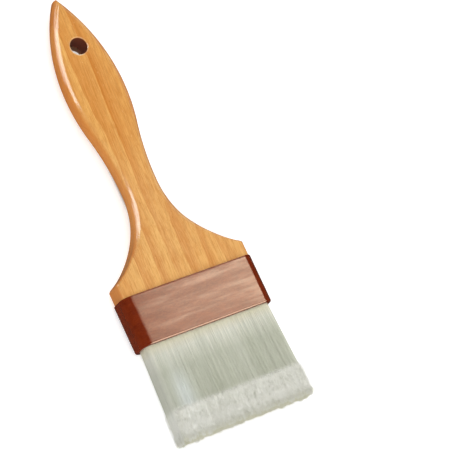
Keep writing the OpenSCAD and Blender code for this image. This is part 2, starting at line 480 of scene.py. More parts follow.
GLUE_TONES = (colour(232, 220, 172), colour(214, 196, 140))
RESIN_TONES = (colour(206, 166, 90), colour(178, 132, 60))
BUBBLE_LIGHT = colour(244, 236, 208)


def resin_material(name, tones):
    """Cast resin or set glue, with cloudy streaks and small bubbles."""
    made, tree, shader = new_material(name)
    place = place_in_mm(tree)
    cloud = remap(tree, noise(tree, place, (4, 4, 4), 4.0, 0.6), 0.3, 0.7)
    tone = mix(tree, cloud, *tones)
    bubbles = remap(tree, noise(tree, place, (0.5, 0.5, 0.5), 1.0), 0.68, 0.74)
    tone = mix(tree, math_node(tree, "MULTIPLY", bubbles, 0.6), tone, BUBBLE_LIGHT)
    tree.links.new(tone, shader.inputs["Base Color"])
    gloss = remap(tree, cloud, 0.0, 1.0, 0.18, 0.34)
    tree.links.new(gloss, shader.inputs["Roughness"])
    bump(tree, shader, bubbles, 0.05 * MM, 0.4)
    return made


SOFTWOOD_LIGHT = colour(208, 178, 132)
SOFTWOOD_DARK = colour(176, 138, 92)
SOFTWOOD_FIBRE = colour(140, 102, 62)


def bare_wood_material():
    """Sawn softwood, with its rings and fibres along the strip."""
    made, tree, shader = new_material("bare_softwood")
    place = place_in_mm(tree)
    rings = remap(tree, noise(tree, place, (28, 0.7, 0.7), 3.0, 0.6), 0.3, 0.7)
    tone = mix(tree, rings, SOFTWOOD_LIGHT, SOFTWOOD_DARK)
    fibre = remap(tree, noise(tree, place, (3.0, 0.14, 0.14)), 0.4, 0.75, 0.0, 0.5)
    tone = mix(tree, fibre, tone, SOFTWOOD_FIBRE)
    tree.links.new(tone, shader.inputs["Base Color"])
    rough = remap(tree, fibre, 0.0, 0.5, 0.62, 0.8)
    tree.links.new(rough, shader.inputs["Roughness"])
    bump(tree, shader, fibre, 0.06 * MM, 0.6)
    return made


FLOOR_PALE = (colour(220, 220, 220), colour(223, 223, 223))
FLOOR_SHADED = colour(138, 114, 100)
FLOOR_GLOW = colour(255, 255, 255)
FLOOR_GLOW_STRENGTH = 0.5
SHADE_FROM = 6.4 * MM
SHADE_TO = 8.8 * MM
SHADE_END_Y = HOLE_Y + 4 * MM
LIGHT_PATCH = (0.5 * MM, HOLE_Y - 1.3 * MM, 0)
PATCH_FROM = 4.4 * MM
PATCH_TO = 5.0 * MM


def beside_handle(tree):
    """0 on the floor under the middle of the handle, where a shadow is painted, and 1 beside the handle.
    """
    own = own_place(tree)
    across = part_of(tree, own, 0)
    along = part_of(tree, own, 1)
    within = math_node(tree, "MINIMUM", math_node(tree, "MAXIMUM", along, RIM_Y), SHADE_END_Y)
    past_end = math_node(tree, "SUBTRACT", along, within)
    across_squared = math_node(tree, "MULTIPLY", across, across)
    past_squared = math_node(tree, "MULTIPLY", past_end, past_end)
    away = math_node(tree, "SQRT", math_node(tree, "ADD", across_squared, past_squared))
    return remap(tree, away, SHADE_FROM, SHADE_TO)


def floor_material():
    """A pale matt floor, with a painted shadow under the handle and a painted pool of light where the
    hole lets light through.
    """
    made, tree, shader = new_material("studio_floor")
    place = place_in_mm(tree)
    fine = remap(tree, noise(tree, place, (160, 160, 160)), 0.3, 0.7)
    tone = mix(tree, fine, *FLOOR_PALE)
    patch = remap(tree, level_distance(tree, LIGHT_PATCH), PATCH_FROM, PATCH_TO, 1.0, 0.0)
    lit = math_node(tree, "MAXIMUM", beside_handle(tree), patch)
    tree.links.new(mix(tree, lit, FLOOR_SHADED, tone), shader.inputs["Base Color"])
    set_shader(shader, Roughness=0.7, Specular_IOR_Level=0.2, Emission_Color=FLOOR_GLOW)
    glow = math_node(tree, "MULTIPLY", lit, FLOOR_GLOW_STRENGTH)
    tree.links.new(glow, shader.inputs["Emission Strength"])
    return made


# -------- handle
CORNER_N = 13
FACE_N = 14
SIDE_N = 5
RIM_N = 8
BORE_N = 5
TENON_STATIONS = 5
STRAIGHT_STATIONS = 5
RIDGE_STATIONS = 16
STATION_STEP = 0.7 * MM
CAP_STEPS = 12
LAST_CAP_ANGLE = math.radians(84)

flare_rise = (SHOULDER_W - NECK_W) / 2
flare_run = NECK_AT - SHOULDER_AT
flare_r = (flare_rise ** 2 + flare_run ** 2) / (2 * flare_rise)
swell_angle = 2 * math.atan((BULB_W - NECK_W) / 2 / (BULB_AT - NECK_AT))
swell_at = NECK_AT + NECK_R * math.sin(swell_angle)
bulb_r = (BULB_AT - NECK_AT) / math.sin(swell_angle) - NECK_R
cap_at = HANDLE_LEN - NOSE_TIP_R
cap_run = cap_at - BULB_AT
nose_r = (BULB_W ** 2 / 4 - NOSE_TIP_R ** 2 + cap_run ** 2) / (BULB_W - 2 * NOSE_TIP_R)
nose_end = BULB_AT + cap_run * nose_r / (nose_r - NOSE_TIP_R)


def sagitta(r, d):
    """How far an arc of radius r is from its tangent, d along the tangent."""
    return r - math.sqrt(max(r * r - d * d, 0))


def half_width(s):
    """Half the handle's width at distance s from the ferrule."""
    if s <= SHOULDER_AT:
        return SHOULDER_W / 2
    if s <= NECK_AT:
        return NECK_W / 2 + sagitta(flare_r, NECK_AT - s)
    if s <= swell_at:
        return NECK_W / 2 + sagitta(NECK_R, s - NECK_AT)
    if s <= BULB_AT:
        return BULB_W / 2 - sagitta(bulb_r, BULB_AT - s)
    if s <= nose_end:
        return BULB_W / 2 - sagitta(nose_r, s - BULB_AT)
    return math.sqrt(max(NOSE_TIP_R ** 2 - (s - cap_at) ** 2, 0))


def soft_half_width(s):
    """Half the width, with the ridge at the top of the shoulders' straight sides worn round."""
    if abs(s - SHOULDER_AT) > 2 * RIDGE_WEAR:
        return half_width(s)
    return sum(half_width(s + k * RIDGE_WEAR / 2) for k in (-2, -1, 0, 1, 2)) / 5


def outline_cos(s):
    """Cosine of the angle between the handle's outline and the brush's axis."""
    step = 0.01 * MM
    slope = (soft_half_width(s + step) - soft_half_width(s - step)) / (2 * step)
    return 1 / math.sqrt(1 + slope * slope)


def handle_section(s):
    """The handle's ring of points (x, z) at distance s from the ferrule."""
    w = soft_half_width(s)
    t = (SHOULDER_T + (GRIP_T - SHOULDER_T) * ease((s - SHOULDER_AT) / flare_run)) / 2
    r = SHOULDER_EDGE_R + (EDGE_R - SHOULDER_EDGE_R) * ease((s - RUNOUT_FROM) / RUNOUT_LEN)
    c = outline_cos(s)
    room = min((w - RIDGE_HALF_W) * c / r, 1)
    a = np.linspace(0, math.acos(1 - room), CORNER_N)
    side = np.stack([np.full(SIDE_N, w), np.linspace(0, t - r, SIDE_N)], axis=-1)
    corner = np.stack([w - r * (1 - np.cos(a)) / c, t - r + r * np.sin(a)], axis=-1)
    last = corner[-1]
    face = np.stack([np.linspace(last[0], 0, FACE_N), np.full(FACE_N, last[1])], axis=-1)
    return four_quarters(np.concatenate([side[:-1], corner, face[1:]]))


def handle_stations():
    """Distances from the ferrule at which the handle's surface has a ring."""
    low = SHOULDER_AT - 2 * RIDGE_WEAR
    high = SHOULDER_AT + 2 * RIDGE_WEAR
    straight = np.linspace(0, low, STRAIGHT_STATIONS)
    ridge = np.linspace(low, high, RIDGE_STATIONS)
    body = np.linspace(high, nose_end, round((nose_end - high) / STATION_STEP))
    first = math.asin((nose_end - cap_at) / NOSE_TIP_R)
    cap = cap_at + NOSE_TIP_R * np.sin(np.linspace(first, LAST_CAP_ANGLE, CAP_STEPS))
    return np.concatenate([straight, ridge[1:], body[1:], cap[1:]])


def handle_rings():
    """The tenon's rings and then the grip's, from the ferrule's resin to the tip."""
    tenon = rounded_ring(SHOULDER_W / 2 - TENON_FIT, SHOULDER_T / 2 - TENON_FIT, TENON_R,
                         CORNER_N, FACE_N, SIDE_N)
    rings = [placed(tenon, y) for y in np.linspace(TENON_Y, RIM_Y, TENON_STATIONS)]
    rings += [placed(handle_section(s), RIM_Y + s) for s in handle_stations()]
    return rings


def handle_blank():
    """The handle before its hole is bored."""
    rings = handle_rings()
    count = len(rings[0])
    faces = ring_faces(len(rings), count).tolist() + end_caps(len(rings), count)
    mesh = mesh_from("handle_blank", np.concatenate(rings), faces)
    work = bmesh.new()
    work.from_mesh(mesh)
    bmesh.ops.remove_doubles(work, verts=work.verts, dist=0.02 * MM)
    bmesh.ops.recalc_face_normals(work, faces=work.faces)
    work.to_mesh(mesh)
    work.free()
    return mesh


def bored(blank, radius):
    """The blank with a plain hole of this radius through it."""
    cutter_mesh = bpy.data.meshes.new("cutter")
    work = bmesh.new()
    place = Matrix.Translation((0, HOLE_Y, AXIS_Z))
    bmesh.ops.create_cone(work, cap_ends=True, segments=HOLE_SEGMENTS, radius1=radius,
                          radius2=radius, depth=2 * GRIP_T, matrix=place)
    work.to_mesh(cutter_mesh)
    work.free()
    cutter = bpy.data.objects.new("cutter", cutter_mesh)
    body = bpy.data.objects.new("body", blank)
    for made in (cutter, body):
        bpy.context.scene.collection.objects.link(made)
    cut = body.modifiers.new("bore", "BOOLEAN")
    cut.operation = "DIFFERENCE"
    cut.solver = "EXACT"
    cut.object = cutter
    ready = body.evaluated_get(bpy.context.evaluated_depsgraph_get())
    mesh = bpy.data.meshes.new_from_object(ready)
    for made in (body, cutter):
        bpy.data.objects.remove(made)
    return mesh


def rim_profile():
    """The bore from its upper rim to its lower one, as pairs of radius and height."""
    a = np.linspace(0, math.pi / 2, RIM_N)
    top = AXIS_Z + GRIP_T / 2
    edge = [(HOLE_R + HOLE_RIM_R * (1 - math.sin(t)), top - HOLE_RIM_R * (1 - math.cos(t))) for t in a]
    wall = [(HOLE_R, z) for z in np.linspace(edge[-1][1], AXIS_Z, BORE_N)[1:]]
    upper = edge + wall
    lower = [(r, 2 * AXIS_Z - z) for r, z in upper[-2::-1]]
    return upper + lower


def line_hole(work, radius):
    """Replaces a plain hole's wall by a bore with softened rims."""
    def is_wall(face):
        """Whether the face belongs to the plain hole's wall."""
        middle = face.calc_center_median()
        away = math.hypot(middle.x, middle.y - HOLE_Y)
        return abs(face.normal.z) < 0.5 and away < radius + 0.1 * MM
    walls = [face for face in work.faces if is_wall(face)]
    bmesh.ops.delete(work, geom=walls, context="FACES")
    open_edges = [e for e in work.edges if e.is_boundary]
    count = HOLE_SEGMENTS
    rings = []
    for r, z in rim_profile():
        turn = [2 * math.pi * k / count for k in range(count)]
        rings.append([work.verts.new((r * math.cos(t), HOLE_Y + r * math.sin(t), z)) for t in turn])
    for low, high in zip(rings, rings[1:]):
        for k in range(count):
            after = (k + 1) % count
            work.faces.new((low[k], low[after], high[after], high[k]))
    for ring, upper in ((rings[0], True), (rings[-1], False)):
        mine = [work.edges.get((ring[k], ring[(k + 1) % count])) for k in range(count)]
        theirs = [e for e in open_edges if (e.verts[0].co.z > AXIS_Z) == upper]
        bmesh.ops.bridge_loops(work, edges=mine + theirs)


def make_handle():
    """The handle, bored a little wide first and then lined with the hole's real wall and rims."""
    margin_r = HOLE_R + HOLE_MARGIN
    mesh = bored(handle_blank(), margin_r)
    mesh.name = "handle_lacquered"
    work = bmesh.new()
    work.from_mesh(mesh)
    line_hole(work, margin_r)
    work.to_mesh(mesh)
    work.free()
    finish_shading(mesh, HANDLE_SHARP_DEG)
    mesh.materials.clear()
    made = add_object("handle_lacquered", mesh, wood_material())
    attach(made, "handle")
    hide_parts("handle")
    return made


# -------- ferrule
FERRULE_CORNER_N = 14
FERRULE_FACE_N = 30
FERRULE_SIDE_N = 5
FERRULE_RIM_N = 6
FERRULE_MOUTH_N = 9
LIP_EDGE_N = 5
OUTSIDE_STATIONS = 40
INSIDE_STATIONS = 6


def arc(n, centre_in, centre_y, radius, start_deg, end_deg):
    """Points (inset, y) on an arc. An angle of 0 points out and 90 towards the rim."""
    a = np.radians(np.linspace(start_deg, end_deg, n))
    return [(centre_in - radius * math.cos(t), centre_y + radius * math.sin(t)) for t in a]


def ferrule_ring(half_w, half_t, r, y):
    """One of the ferrule's rings, which all have the same number of points."""
    return placed(rounded_ring(half_w, half_t, r, FERRULE_CORNER_N, FERRULE_FACE_N, FERRULE_SIDE_N), y)


def ferrule_outline(inset, y):
    """The outer shell's ring at this inset, with the faint sink mark above the lip."""
    sink = SINK_DEPTH * float(bump_at(y - MOUTH_Y, SINK_Y, SINK_HALF_H)) if inset == 0 else 0
    half_w = FERRULE_W / 2 - inset
    half_t = FERRULE_T / 2 - inset - sink
    return ferrule_ring(half_w, half_t, CORNER_R - inset, y)


def lip_ring(inset, y):
    """The lip's ring round the filaments, let back by inset."""
    half_w = PACK_W / 2 + MOUTH_GAP + inset
    half_t = PACK_T / 2 + MOUTH_GAP + inset
    return ferrule_ring(half_w, half_t, PACK_R + MOUTH_GAP + inset, y)


def ferrule_rings():
    """The shell's rings: down its outside, round the mouth, and up the inside to the rim."""
    rim = arc(FERRULE_RIM_N, RIM_EDGE_R, RIM_Y - RIM_EDGE_R, RIM_EDGE_R, 90, 0)
    rings = [ferrule_outline(d, y) for d, y in rim]
    outside = np.linspace(RIM_Y - RIM_EDGE_R, MOUTH_Y + MOUTH_EDGE_R, OUTSIDE_STATIONS)
    rings += [ferrule_outline(0, y) for y in outside[1:]]
    mouth = arc(FERRULE_MOUTH_N, MOUTH_EDGE_R, MOUTH_Y + MOUTH_EDGE_R, MOUTH_EDGE_R, 0, -90)
    rings += [ferrule_outline(d, y) for d, y in mouth[1:]]
    for t in np.radians(np.linspace(0, 90, LIP_EDGE_N)):
        inset = LIP_EDGE_R * (1 - math.sin(t))
        rings.append(lip_ring(inset, MOUTH_Y + LIP_EDGE_R * (1 - math.cos(t))))
    rings.append(lip_ring(0, MOUTH_Y + LIP_H - LIP_EDGE_R))
    rings.append(lip_ring(LIP_EDGE_R, MOUTH_Y + LIP_H))
    rings.append(ferrule_outline(WALL + INNER_EASE, MOUTH_Y + LIP_H))
    inside = np.linspace(MOUTH_Y + LIP_H + INNER_EASE, RIM_Y - INNER_EASE, INSIDE_STATIONS)
    rings += [ferrule_outline(WALL, y) for y in inside]
    rings.append(ferrule_outline(WALL - RIM_BEVEL, RIM_Y))
    return rings


def make_ferrule():
    """The ferrule's shell, closed between its last ring and its first at the rim."""
    rings = ferrule_rings()
    count = len(rings[0])
    last = (len(rings) - 1) * count
    j = np.arange(count)
    after = (j + 1) % count
    closing = np.stack([last + j, last + after, after, j], axis=-1)
    faces = np.concatenate([ring_faces(len(rings), count), closing]).tolist()
    mesh = mesh_from("ferrule_moulded", np.concatenate(rings), faces)
    finish_shading(mesh, FERRULE_SHARP_DEG)
    made = add_object("ferrule_moulded", mesh, ferrule_material())
    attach(made, "handle")
    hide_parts("ferrule")
    return made


# -------- filaments
FLAG_FROM = 0.68
TIPS_PROUD = 1.4 * MM
PACK_CORNER_N = 12
PACK_FACE_N = 60
PACK_SIDE_N = 12
CORE_ACROSS_N = 150
TUBE_SIDES = 3
FILAMENT_R_MM = (0.115, 0.15)
FACE_HAIR_R_MM = 0.085
END_HAIR_R_MM = 0.09
FACE_HAIRS = 5200
END_HAIR_SPACING = 0.36 * MM
CORE_INSET = 0.36 * MM
CORE_ROUND_FROM = 0.965
GROOVE_DEPTH = 0.05 * MM
GROOVE_SIZE = 0.55 * MM

# The depth of each outer layer under the pack's surface, and the spacing of its filaments
LAYERS = (
    (0.16 * MM, 0.18 * MM),
    (0.32 * MM, 0.18 * MM),
    (0.54 * MM, 0.26 * MM),
    (0.85 * MM, 0.34 * MM),
)

NYLON_MID = linear(182, 186, 166)
NYLON_LIGHT = linear(221, 222, 210)
NYLON_LIT_STRIP = linear(224, 230, 227)
NYLON_WHITE = linear(250, 250, 243)
NYLON_FLECK = linear(244, 242, 228)
NYLON_ROOT = linear(232, 222, 186)
NYLON_END_SHADE = linear(214, 212, 180)


def mixed(a, b, share):
    """Colours between a and b, one for each share."""
    share = np.clip(share, 0, 1)[..., None]
    return a * (1 - share) + b * share


def filament_tint(u, v, lot):
    """Colour of a filament at u along it, 0 at the mouth and 1 at the tips, and v across
    the brush from -1 to 1. lot is the filament's own random number from 0 to 1."""
    across = v * PACK_W / 2
    streak = 0.5 + 0.5 * smooth_noise(across, 3, 3.2 * MM)
    fine = 0.5 + 0.5 * smooth_noise(across, 4, 0.7 * MM)
    cloud = 0.5 + 0.5 * smooth_noise_2d(across, u * FREE_LEN, 5, 9 * MM, 16 * MM)
    light = 0.14 * streak + 0.1 * fine + 0.22 * cloud + 0.1 * (lot - 0.5)
    # Paler near the ferrule and along the pack's two edges, as painted light.
    light = light + 0.7 * (1 - ease(u / 0.36)) + 0.5 * ease((np.abs(v) - 0.92) / 0.07)
    tint = mixed(NYLON_MID, NYLON_LIGHT, light)
    # A painted pale bluish strip of light down the pack's left part.
    tint = mixed(tint, NYLON_LIT_STRIP, 0.8 * bump_at(v, -0.74, 0.13) * ease((u - 0.2) / 0.35))
    flecked = (lot > 0.6) * ease((u - 0.02) / 0.03) * (1 - ease((u - 0.06 - 0.4 * (lot - 0.6)) / 0.1))
    tint = mixed(tint, NYLON_FLECK, 0.7 * flecked)
    tint = mixed(tint, NYLON_ROOT, 0.6 * (1 - ease(u / 0.016)))
    return mixed(tint, NYLON_WHITE, 0.75 * ease((u - FLAG_FROM) / 0.05))


def flag_swell(u):
    """How far the flagged ends stand proud of the pack, as they swell and then close in."""
    ridge = 0.5 * MM * ease((u - FLAG_FROM + 0.02) / 0.04)
    second = 0.18 * MM * bump_at(u, 0.88, 0.05)
    close = 0.3 * MM * ease((u - 0.95) / 0.06)
    return ridge * (1 - 0.6 * ease((u - 0.72) / 0.08)) + second - close


def pack_scale(u):
    """How much wider and thicker the pack is at u than at the mouth. u is below 0 in the ferrule."""
    fan = 1 + (TIPS_W / PACK_W - 1) * np.clip(u, 0, 1.05)
    inside = ease((-u * FREE_LEN - LIP_H) / (3 * MM))
    wide = fan * (1 - inside) + BUTT_W / PACK_W * inside
    thick = 1 + (BUTT_T / PACK_T - 1) * inside
    return wide, thick


def give_tint(mesh, rgb):
    """Gives each of the mesh's points its own colour, which nylon_material reads."""
    attribute = mesh.color_attributes.new("tint", "FLOAT_COLOR", "POINT")
    rgba = np.concatenate([rgb, np.ones((len(rgb), 1))], axis=1)
    attribute.data.foreach_set("color", rgba.astype(np.float32).ravel())


def perimeter_points(inset, spacing):
    """Points (x, z) along the pack's outline let in by inset, one every spacing."""
    half_w = PACK_W / 2 - inset
    half_t = PACK_T / 2 - inset
    r = max(PACK_R - inset, 0.4 * MM)
    ring = rounded_ring(half_w, half_t, r, PACK_CORNER_N, PACK_FACE_N, PACK_SIDE_N)
    closed = np.concatenate([ring, ring[:1]])
    along = np.concatenate([[0], np.cumsum(np.linalg.norm(np.diff(closed, axis=0), axis=1))])
    count = int(along[-1] / spacing)
    places = (np.arange(count) + rng.uniform(-0.35, 0.35, count)) * spacing % along[-1]
    x = np.interp(places, along, closed[:, 0])
    z = np.interp(places, along, closed[:, 1])
    return np.stack([x, z], axis=-1)


def tubes(name, paths, radii, tints, material):
    """One mesh of closed thin tubes, from each tube's rings: their places, radii and colours."""
    sides = TUBE_SIDES
    count, rings = radii.shape
    turn = rng.uniform(0, 2 * math.pi, count)[:, None] + np.arange(sides) * 2 * math.pi / sides
    spoke = np.stack([np.cos(turn), np.zeros_like(turn), np.sin(turn)], axis=-1)
    points = paths[:, :, None, :] + radii[:, :, None, None] * spoke[:, None, :, :]
    one = ring_faces(rings, sides)
    start = np.arange(count)[:, None, None] * rings * sides
    quads = (start + one[None]).reshape(-1, 4)
    first = start[:, :, 0] + np.arange(sides)[None, ::-1]
    last = start[:, :, 0] + (rings - 1) * sides + np.arange(sides)[None]
    mesh = mesh_from(name, points, quads.tolist() + first.tolist() + last.tolist())
    give_tint(mesh, np.repeat(tints[:, :, None, :], sides, axis=2).reshape(-1, 3))
    mesh.polygons.foreach_set("use_smooth", [True] * len(mesh.polygons))
    return add_object(name, mesh, material)


def end_level(x, z):
    """How far each place's tips stop short of the frame's end, or below 0 go past it, in clumps."""
    clump = smooth_noise_2d(x, z, 21, 2.6 * MM, 2.2 * MM)
    fine = smooth_noise_2d(x, z, 22, 0.9 * MM, 0.9 * MM)
    return 0.8 * MM * clump + 0.6 * MM * fine - TIPS_PROUD


def filament_paths(base, stops):
    """Paths from the butts to the tips for filaments that cross the mouth at base."""
    x0 = base[:, 0][:, None]
    z0 = base[:, 1][:, None]
    u = stops[None, :] * np.ones_like(x0)
    wide, thick = pack_scale(u)
    outward = np.clip(np.abs(z0) / (PACK_T / 2), 0, 1) ** 2
    sway = rng.normal(0, 0.06 * MM, x0.shape) * ease(u / 0.8)
    drift = smooth_noise(x0, 31, 7 * MM) * 0.12 * MM * ease(u)
    x = x0 * wide + sway + drift
    z = z0 * thick + np.sign(z0) * outward * flag_swell(u)
    z = z + rng.normal(0, 0.03 * MM, z0.shape) * ease(u)
    y = MOUTH_Y - u * FREE_LEN
    tips = end_level(x0, z0) + rng.uniform(0, 0.5 * MM, x0.shape)
    y = y + tips * ease((u - 0.7) / 0.3)
    return np.stack([x, y, z + AXIS_Z], axis=-1), u


def bank_word(side):
    """The bank's name. side is 1 for the front and -1 for the rear, here and below."""
    return "front" if side > 0 else "rear"


def make_filaments(side, material):
    """The outer layers of one bank's whole filaments."""
    base = np.concatenate([perimeter_points(inset, spacing) for inset, spacing in LAYERS])
    base = base[base[:, 1] * side > 0]
    into = -(BUTT_Y - MOUTH_Y) / FREE_LEN
    stops = np.array([into, 0.45 * into, 0, 0.12, 0.3, 0.5, 0.66, 0.72, 0.8, 0.9, 1.0])
    paths, u = filament_paths(base, stops)
    lot = rng.uniform(0, 1, len(base))[:, None]
    tints = filament_tint(u, base[:, 0][:, None] / (PACK_W / 2) * np.ones_like(u), lot)
    shape = np.interp(stops, [0.66, 0.9, 1.0], [1, 0.75, 0.3])
    radii = rng.uniform(*FILAMENT_R_MM, len(base))[:, None] * MM * shape[None, :]
    return tubes("filaments_" + bank_word(side), paths, radii, tints, material)


def make_core(side, material):
    """The inner mass of filaments of one bank, combed into grooves, under the outer layers."""
    stops = np.concatenate([[-0.18, -0.08, 0.0], np.linspace(0.06, 0.965, 24)])
    across = np.linspace(-1, 1, CORE_ACROSS_N)
    rows = []
    for u in stops:
        wide, thick = pack_scale(np.array(u))
        x = across * (PACK_W / 2 - CORE_INSET) * wide
        top = PACK_T / 2 * thick - CORE_INSET + 0.8 * flag_swell(np.array(u))
        groove = GROOVE_DEPTH * smooth_noise(across * PACK_W, 41, GROOVE_SIZE)
        past = ((np.abs(across) - CORE_ROUND_FROM) / (1 - CORE_ROUND_FROM)).clip(0, 1)
        corner = np.sqrt(1 - past ** 2)
        z = (top + groove) * (0.4 + 0.6 * corner)
        y = np.full_like(x, MOUTH_Y - u * FREE_LEN)
        upper = np.stack([x, y, AXIS_Z + side * z], axis=-1)
        lower = np.stack([x[::-1], y, np.full_like(x, AXIS_Z + side * 0.02 * MM)], axis=-1)
        rows.append(np.concatenate([upper, lower]))
    count = len(rows[0])
    faces = ring_faces(len(rows), count).tolist() + end_caps(len(rows), count)
    name = "filament_core_" + bank_word(side)
    mesh = mesh_from(name, np.concatenate(rows), faces)
    finish_shading(mesh, CORE_SHARP_DEG)
    points = np.array([vertex.co for vertex in mesh.vertices])
    u = (MOUTH_Y - points[:, 1]) / FREE_LEN
    give_tint(mesh, filament_tint(u, points[:, 0] / (PACK_W / 2), np.full(len(points), 0.5)))
    return add_object(name, mesh, material)


def face_fuzz(side, count):
    """Paths of the split hairs that lie on the flagged band's face."""
    u0 = FLAG_FROM + 0.3 * rng.uniform(0, 1, count) ** 1.15 + 0.01 * rng.normal(0, 1, count)
    v0 = rng.uniform(-1, 1, count)
    length = rng.uniform(1.4, 3.6, count) * MM
    lean = rng.normal(0, 0.6, count)
    tufted = smooth_noise_2d(v0 * PACK_W / 2, u0 * FREE_LEN, 53, 0.9 * MM, 1.1 * MM)
    lift = rng.uniform(0.02, 0.32, count) * MM * (1.3 + 0.8 * tufted)
    t = np.linspace(0, 1, 5)[None, :]
    u = u0[:, None] + t * length[:, None] / FREE_LEN
    wide = pack_scale(u)[0]
    x = v0[:, None] * (PACK_W / 2 - 0.25 * MM) * wide + t * (length * lean)[:, None]
    x = x + 0.25 * MM * np.sin(t * 5 + rng.uniform(0, 6, count)[:, None]) * t
    reach = (PACK_W / 2 + 0.15 * MM) * wide
    x = np.clip(x, -reach, reach)
    top = PACK_T / 2 - 0.25 * MM + flag_swell(u) + lift[:, None] * np.sin(t * math.pi * 0.85)
    y = MOUTH_Y - np.minimum(u, 1.02) * FREE_LEN
    return np.stack([x, y, AXIS_Z + side * top], axis=-1), u, v0


def end_hairs(side, spacing):
    """Paths of the split hairs that fill the pack's end."""
    half_w = TIPS_W / 2 - 0.3 * MM
    half_t = PACK_T / 2 - 0.35 * MM
    x = np.arange(-half_w, half_w, spacing)
    z = np.arange(0.05 * MM, half_t, spacing)
    gx, gz = [g.ravel() for g in np.meshgrid(x, z)]
    gx = gx + rng.uniform(-0.5, 0.5, gx.shape) * spacing
    gz = np.abs(gz + rng.uniform(-0.5, 0.5, gz.shape) * spacing)
    inside = np.abs(gx) < half_w + 0.2 * MM
    gx = gx[inside]
    gz = gz[inside]
    edge = np.clip((gz - half_t + 1.2 * MM) / (1.2 * MM), 0, 1)
    level = end_level(gx, gz * side) + 0.5 * MM * edge ** 2 + rng.uniform(-0.1, 0.6, gx.shape) * MM
    length = rng.uniform(4, 7, gx.shape) * MM
    t = np.linspace(0, 1, 4)[None, :]
    bend_x = rng.normal(0, 0.1, gx.shape)[:, None] * (length[:, None] * t ** 2)
    bend_z = rng.normal(0, 0.1, gx.shape)[:, None] * (length[:, None] * t ** 2)
    px = gx[:, None] + bend_x
    pz = np.minimum(gz[:, None] + bend_z, half_t + 0.2 * MM)
    py = (TIPS_Y + level)[:, None] + (1 - t) * length[:, None]
    u = (MOUTH_Y - py) / FREE_LEN
    return np.stack([px, py, AXIS_Z + side * pz], axis=-1), u, gx / (TIPS_W / 2)


def flag_tint(u, v, lot):
    """Colour of a split hair: whitish on the faces, in mottled tufts, with a painted highlight along two
    ridges and painted shade where it ends.
    """
    across = v * PACK_W / 2
    tuft = smooth_noise_2d(across, u * FREE_LEN, 51, 1.1 * MM, 1.3 * MM)
    tuft = tuft + 0.7 * smooth_noise_2d(across, u * FREE_LEN, 52, 0.6 * MM, 0.7 * MM)
    # Painted highlight along the two ridges of the flagged band.
    lit = bump_at(u, FLAG_FROM + 0.035, 0.035) + 0.9 * bump_at(u, 0.89, 0.05)
    dull = 0.34 + 0.45 * tuft + 0.6 * (lot - 0.5) - 0.5 * lit
    tint = mixed(NYLON_WHITE, NYLON_MID, dull)
    tint = mixed(tint, NYLON_FLECK, 0.5 * (lot > 0.86))
    # Painted shade where the hairs end.
    return mixed(tint, NYLON_END_SHADE, 0.7 * ease((u - 0.96) / 0.06))


def make_flags(side, material):
    """The flagged ends of one bank: split hairs on its face and over its end."""
    on_face = face_fuzz(side, FACE_HAIRS)
    on_end = end_hairs(side, END_HAIR_SPACING)
    made = []
    for kind, hairs, hair_r_mm in (("face", on_face, FACE_HAIR_R_MM), ("end", on_end, END_HAIR_R_MM)):
        paths, u, v = hairs
        count, rings = u.shape
        lot = rng.uniform(0, 1, count)[:, None]
        tints = flag_tint(u, v[:, None] * np.ones_like(u), lot * np.ones_like(u))
        taper = np.linspace(1, 0.35, rings)[None, :]
        radii = rng.uniform(0.75, 1.25, count)[:, None] * hair_r_mm * MM * taper
        made.append(tubes(f"flagged_{kind}_{bank_word(side)}", paths, radii, tints, material))
    return made


def make_bristles():
    """Both banks: their whole filaments, core and flagged ends, which take the place of the CAD banks and
    roots.
    """
    fibre = nylon_material("nylon_filament", roughness=0.42, sheen_weight=0.0)
    frayed = nylon_material("nylon_flagged", roughness=0.7, sheen_weight=0.3)
    for side in (1, -1):
        whole = make_filaments(side, fibre)
        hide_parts("bristles_" + bank_word(side), "bristle_root_" + bank_word(side))
        for piece in [whole, make_core(side, fibre)] + make_flags(side, frayed):
            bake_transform(piece)


# -------- inner CAD pieces
def dress_inner_parts():
    """Materials for the CAD solids inside the ferrule, which stay as they are."""
    looks = {
        "handle_adhesive": ("resin", resin_material("set_glue", GLUE_TONES)),
        "epoxy_set": ("resin", resin_material("cast_resin", RESIN_TONES)),
        "spacer_plug": ("bare_wood", bare_wood_material()),
    }
    for name, (slot, material) in looks.items():
        node = frame["nodes"][name]
        node.data.materials.clear()
        node.data.materials.append(material)


# -------- studio
CAMERA_YAW = math.radians(27.55)
CAMERA_TILT = math.radians(-11.51)
CAMERA_ROLL = math.radians(25.15)
CAMERA_DISTANCE = 1.3
CAMERA_LENS_MM = 196.5
CAMERA_AIM = Vector((36.55 * MM, -23.3 * MM, AXIS_Z))
FLOOR_SIZE = 24.0
WARM = (1.0, 0.81, 0.58)
COOL = (0.86, 0.97, 1.0)
DIM_WALL = colour(250, 242, 230)
DIM_STRENGTH = 0.06
PALE_WALL = colour(250, 250, 250)
GRIP_AIM = (0, 30 * MM, AXIS_Z)
HOLE_AIM = (0, HOLE_Y, AXIS_Z)
FACE_AIM = (70 * MM, -90 * MM, ferrule_hi.z)
PACK_AIM = (30 * MM, -50 * MM, ferrule_hi.z)
MOUTH_AIM = (0, MOUTH_Y, ferrule_hi.z)
RIM_AIM = (0, RIM_Y, ferrule_hi.z)


